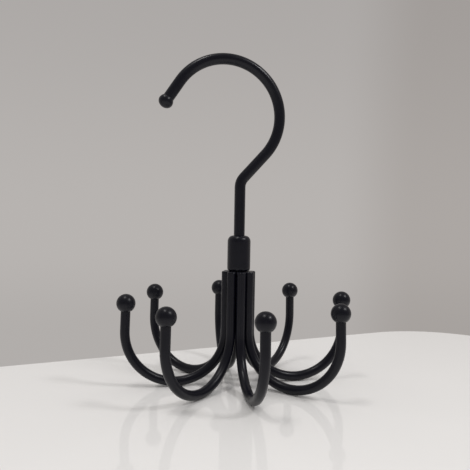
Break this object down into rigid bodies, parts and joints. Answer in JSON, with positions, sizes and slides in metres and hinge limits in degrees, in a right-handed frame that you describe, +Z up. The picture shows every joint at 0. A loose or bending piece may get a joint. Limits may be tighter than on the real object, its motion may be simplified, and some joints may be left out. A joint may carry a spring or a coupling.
{
  "type": "tank top hanger",
  "caption": "Rotating hanger: a wire hook swivels in a domed collar over a ring of bent wire arms with ball ends, for tank tops, straps and ties.",
  "frame": {"origin": "on the surface that the arms stand on, under the swivel axis", "axes": "+Z up along the swivel axis; the hook lies in the XZ plane with its mouth towards -X; arm_1 points along +X and the others follow every 45 degrees towards +Y"},
  "size_m": [0.136, 0.136, 0.1862],
  "materials": {
    "hook_coat": "satin black powder coat on steel wire",
    "collar_coat": "satin black powder coat on a turned steel sleeve",
    "arm_coat": "satin black powder coat on steel wire",
    "ball_coat": "soft satin black powder coat on steel balls",
    "rod_coat": "thin black powder coat on a steel rod",
    "washer_steel": "bare zinc-plated steel"
  },
  "bodies": {
    "rack": {"collar": "collar_coat", "swivel_washer": "washer_steel", "core_rod": "rod_coat", "arm_1": "arm_coat", "arm_2": "arm_coat", "arm_3": "arm_coat", "arm_4": "arm_coat", "arm_5": "arm_coat", "arm_6": "arm_coat", "arm_7": "arm_coat", "arm_8": "arm_coat", "ball_1": "ball_coat", "ball_2": "ball_coat", "ball_3": "ball_coat", "ball_4": "ball_coat", "ball_5": "ball_coat", "ball_6": "ball_coat", "ball_7": "ball_coat", "ball_8": "ball_coat"},
    "hook": {"hook": "hook_coat"}
  },
  "joints": [
    {"name": "hook_swivel", "type": "hinge", "parent": "rack", "child": "hook", "pos_m": [0, 0, 0.07863], "axis": [0, 0, 1], "continuous": true}
  ]
}
